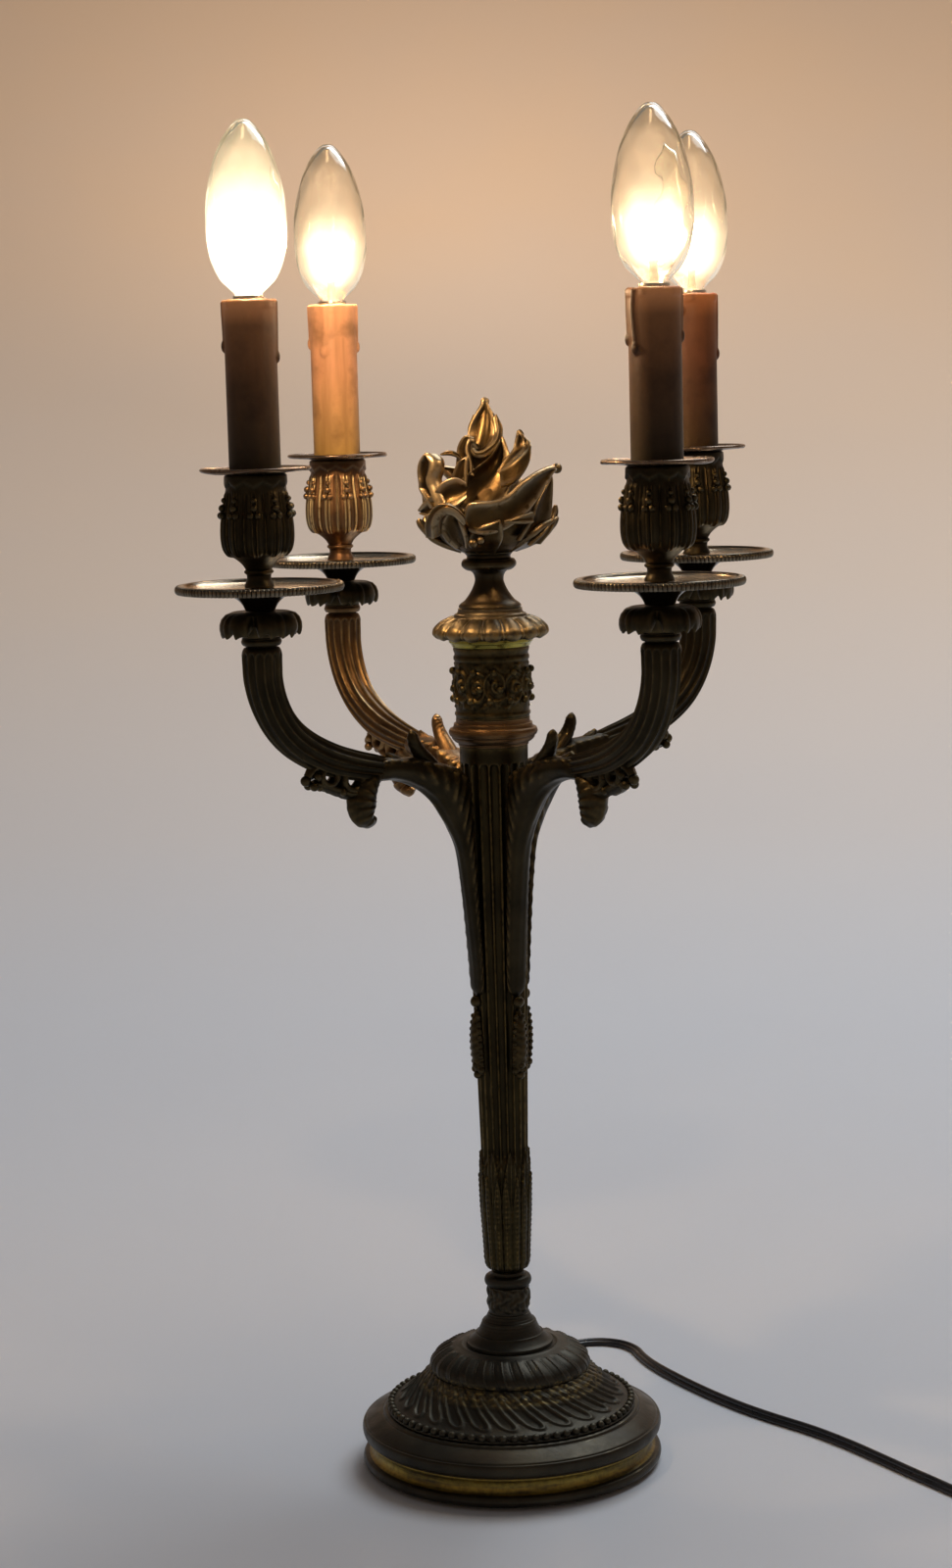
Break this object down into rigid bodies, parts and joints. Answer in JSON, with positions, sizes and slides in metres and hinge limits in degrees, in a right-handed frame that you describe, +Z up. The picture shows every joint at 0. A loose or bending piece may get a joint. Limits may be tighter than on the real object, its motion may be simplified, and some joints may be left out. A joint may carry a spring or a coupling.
{
  "type": "candelabra lamp",
  "caption": "Bronzed candelabra table lamp with scrolled arms that carry candle bulbs over drip pans, a fluted column on a domed round foot, and a flame finial.",
  "frame": {"origin": "centre of the base pad's underside, on the table", "axes": "+Z up along the column; the arms stand at 45, 135, 225 and 315 degrees from +X; the flex leaves the foot along +Y"},
  "size_m": [0.4178, 0.3029, 0.6311],
  "materials": {
    "bronze": "dark brown bronze patina, rubbed lighter on raised edges, traces of gilding in the grooves",
    "gilt_bronze": "worn gilding over dark bronze",
    "bare_brass": "bare polished brass",
    "rosy_brass": "thin pressed brass, lightly tarnished",
    "steel": "zinc plated",
    "felt": "dark green felt",
    "candle_sleeve": "ivory with moulded wax drips, satin",
    "holder_plastic": "moulded phenolic",
    "nickel": "nickel plated brass",
    "solder": "dull solder",
    "bulb_glass": "clear glass with a lit filament",
    "flex_rubber": "dark two-core flex, satin",
    "plug_plastic": "dark moulded plug"
  },
  "bodies": {
    "lamp": {"base_pad": "felt", "base_foot": "gilt_bronze", "base_dome": "bronze", "neck_plinth": "bronze", "stem": "bronze", "top_collar": "bronze", "frieze_drum": "bronze", "brass_ring": "bare_brass", "tie_rod": "steel", "bottom_nut": "steel", "top_nut": "steel", "arm_back_right": "bronze", "arm_back_left": "bronze", "arm_front_left": "bronze", "arm_front_right": "bronze", "capital_back_right": "bronze", "capital_back_left": "bronze", "capital_front_left": "bronze", "capital_front_right": "bronze", "drip_pan_back_right": "bronze", "drip_pan_back_left": "bronze", "drip_pan_front_left": "bronze", "drip_pan_front_right": "bronze", "candle_cup_back_right": "bronze", "candle_cup_back_left": "bronze", "candle_cup_front_left": "bronze", "candle_cup_front_right": "bronze", "bobeche_back_right": "rosy_brass", "bobeche_back_left": "rosy_brass", "bobeche_front_left": "rosy_brass", "bobeche_front_right": "rosy_brass", "candle_sleeve_back_right": "candle_sleeve", "candle_sleeve_back_left": "candle_sleeve", "candle_sleeve_front_left": "candle_sleeve", "candle_sleeve_front_right": "candle_sleeve", "lamp_holder_back_right": "holder_plastic", "lamp_holder_back_left": "holder_plastic", "lamp_holder_front_left": "holder_plastic", "lamp_holder_front_right": "holder_plastic", "cord_gland": "flex_rubber", "power_cord": "flex_rubber", "cord_coil": "flex_rubber", "plug_body": "plug_plastic", "plug_pin_left": "nickel", "plug_pin_right": "nickel"},
    "finial": {"finial_cap": "bronze", "finial_spool": "bronze", "flame": "bronze"},
    "contact_back_right": {"bulb_contact_back_right": "solder"},
    "contact_back_left": {"bulb_contact_back_left": "solder"},
    "contact_front_left": {"bulb_contact_front_left": "solder"},
    "contact_front_right": {"bulb_contact_front_right": "solder"},
    "bulb_back_right": {"bulb_cap_back_right": "nickel", "bulb_glass_back_right": "bulb_glass"},
    "bulb_back_left": {"bulb_cap_back_left": "nickel", "bulb_glass_back_left": "bulb_glass"},
    "bulb_front_left": {"bulb_cap_front_left": "nickel", "bulb_glass_front_left": "bulb_glass"},
    "bulb_front_right": {"bulb_cap_front_right": "nickel", "bulb_glass_front_right": "bulb_glass"}
  },
  "joints": [
    {"name": "finial_lift", "type": "slide", "parent": "lamp", "child": "finial", "axis": [0, 0, 1], "range_m": [0, 0.03]},
    {"name": "bulb_lift_back_right", "type": "slide", "parent": "lamp", "child": "contact_back_right", "axis": [0, 0, 1], "range_m": [0, 0.01]},
    {"name": "bulb_lift_back_left", "type": "slide", "parent": "lamp", "child": "contact_back_left", "axis": [0, 0, 1], "range_m": [0, 0.01]},
    {"name": "bulb_lift_front_left", "type": "slide", "parent": "lamp", "child": "contact_front_left", "axis": [0, 0, 1], "range_m": [0, 0.01]},
    {"name": "bulb_lift_front_right", "type": "slide", "parent": "lamp", "child": "contact_front_right", "axis": [0, 0, 1], "range_m": [0, 0.01]},
    {"name": "bulb_turn_back_right", "type": "hinge", "parent": "contact_back_right", "child": "bulb_back_right", "pos_m": [0.08839, 0.08839, 0.54], "axis": [0, 0, 1], "range_deg": [0, 1260]},
    {"name": "bulb_turn_back_left", "type": "hinge", "parent": "contact_back_left", "child": "bulb_back_left", "pos_m": [-0.08839, 0.08839, 0.54], "axis": [0, 0, 1], "range_deg": [0, 1260]},
    {"name": "bulb_turn_front_left", "type": "hinge", "parent": "contact_front_left", "child": "bulb_front_left", "pos_m": [-0.08839, -0.08839, 0.54], "axis": [0, 0, 1], "range_deg": [0, 1260]},
    {"name": "bulb_turn_front_right", "type": "hinge", "parent": "contact_front_right", "child": "bulb_front_right", "pos_m": [0.08839, -0.08839, 0.54], "axis": [0, 0, 1], "range_deg": [0, 1260]}
  ],
  "couplings": [
    {"joint": "bulb_lift_back_right", "follows": "bulb_turn_back_right", "m_per_rad": 0.00044882},
    {"joint": "bulb_lift_back_left", "follows": "bulb_turn_back_left", "m_per_rad": 0.00044882},
    {"joint": "bulb_lift_front_left", "follows": "bulb_turn_front_left", "m_per_rad": 0.00044882},
    {"joint": "bulb_lift_front_right", "follows": "bulb_turn_front_right", "m_per_rad": 0.00044882}
  ]
}
